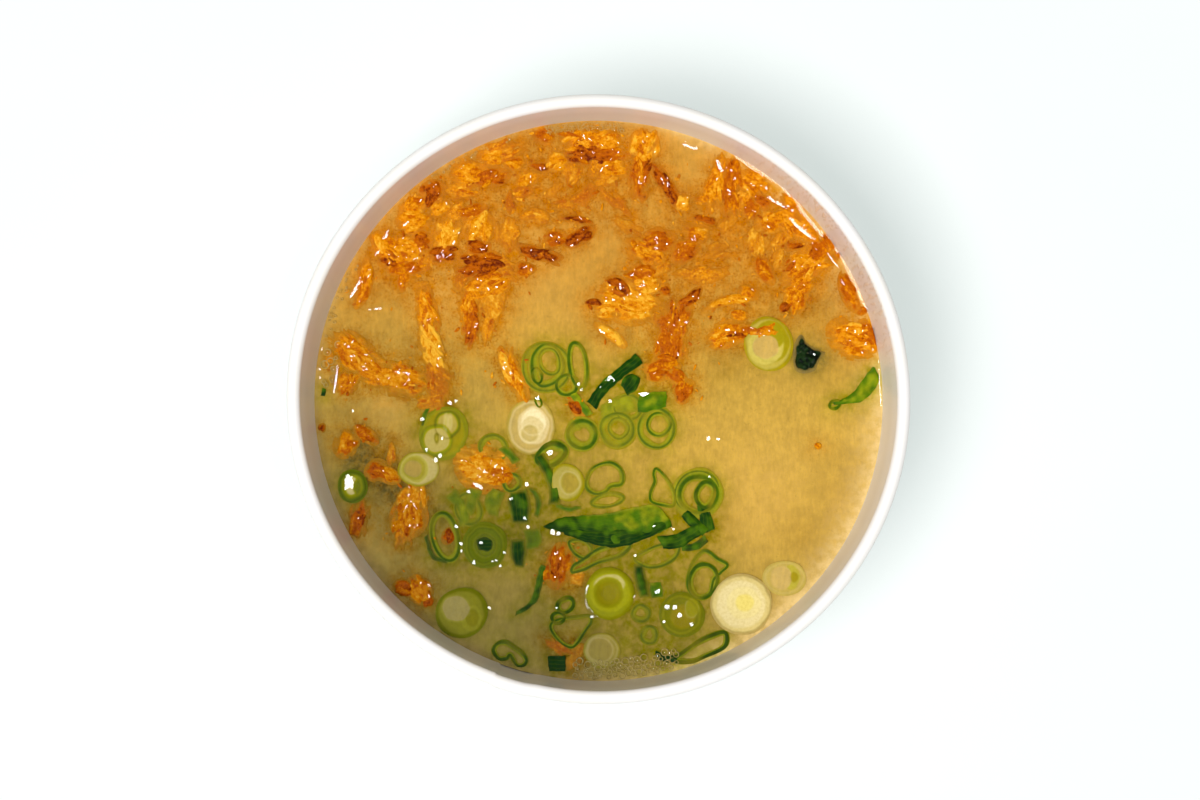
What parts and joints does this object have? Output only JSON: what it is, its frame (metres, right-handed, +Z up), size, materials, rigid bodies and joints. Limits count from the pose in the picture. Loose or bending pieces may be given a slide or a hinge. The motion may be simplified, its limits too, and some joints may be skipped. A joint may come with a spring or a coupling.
{
  "type": "miso soup",
  "caption": "Bowl of miso soup with sliced spring onion, leaf pieces, wakame and fried onion flakes, in a round white paper bowl with a rolled rim.",
  "frame": {"origin": "centre of the bowl's foot, on the surface it stands on", "axes": "+Z up the bowl's axis; +X along the long way of its slightly oval rim; +Y towards the side where the fried onion lies"},
  "size_m": [0.1164, 0.1138, 0.062],
  "materials": {
    "paper": "coated white board, satin inside, matt outside",
    "broth": null,
    "onion": "wet white and pale green onion",
    "green_onion": "wet green onion leaf",
    "wakame": "wet dark seaweed",
    "fried_onion": "crisp fried onion, orange to red-brown, wet with broth"
  },
  "bodies": {
    "root": {"bowl_base": "paper", "bowl_wall": "paper", "fried_flake_1": "fried_onion", "fried_flake_10": "fried_onion", "fried_flake_11": "fried_onion", "fried_flake_12": "fried_onion", "fried_flake_13": "fried_onion", "fried_flake_14": "fried_onion", "fried_flake_15": "fried_onion", "fried_flake_16": "fried_onion", "fried_flake_17": "fried_onion", "fried_flake_18": "fried_onion", "fried_flake_2": "fried_onion", "fried_flake_3": "fried_onion", "fried_flake_4": "fried_onion", "fried_flake_5": "fried_onion", "fried_flake_6": "fried_onion", "fried_flake_7": "fried_onion", "fried_flake_8": "fried_onion", "fried_flake_9": "fried_onion", "leaf_piece_1": "green_onion", "leaf_piece_2": "green_onion", "leaf_piece_3": "green_onion", "leaf_piece_4": "green_onion", "leaf_piece_5": "green_onion", "leaf_piece_6": "green_onion", "leaf_ring_1": "green_onion", "leaf_ring_10": "green_onion", "leaf_ring_11": "green_onion", "leaf_ring_12": "green_onion", "leaf_ring_13": "green_onion", "leaf_ring_2": "green_onion", "leaf_ring_3": "green_onion", "leaf_ring_4": "green_onion", "leaf_ring_5": "green_onion", "leaf_ring_6": "green_onion", "leaf_ring_7": "green_onion", "leaf_ring_8": "green_onion", "leaf_ring_9": "green_onion", "onion_ring_1": "green_onion", "onion_ring_2": "green_onion", "onion_ring_3": "green_onion", "onion_ring_4": "green_onion", "onion_slice_1": "onion", "onion_slice_2": "onion", "onion_slice_3": "onion", "onion_slice_4": "onion", "onion_slice_5": "onion", "onion_slice_6": "onion", "onion_slice_7": "onion", "onion_slice_8": "onion", "onion_slice_9": "onion", "soup": "broth", "wakame_piece": "wakame"}
  },
  "joints": []
}
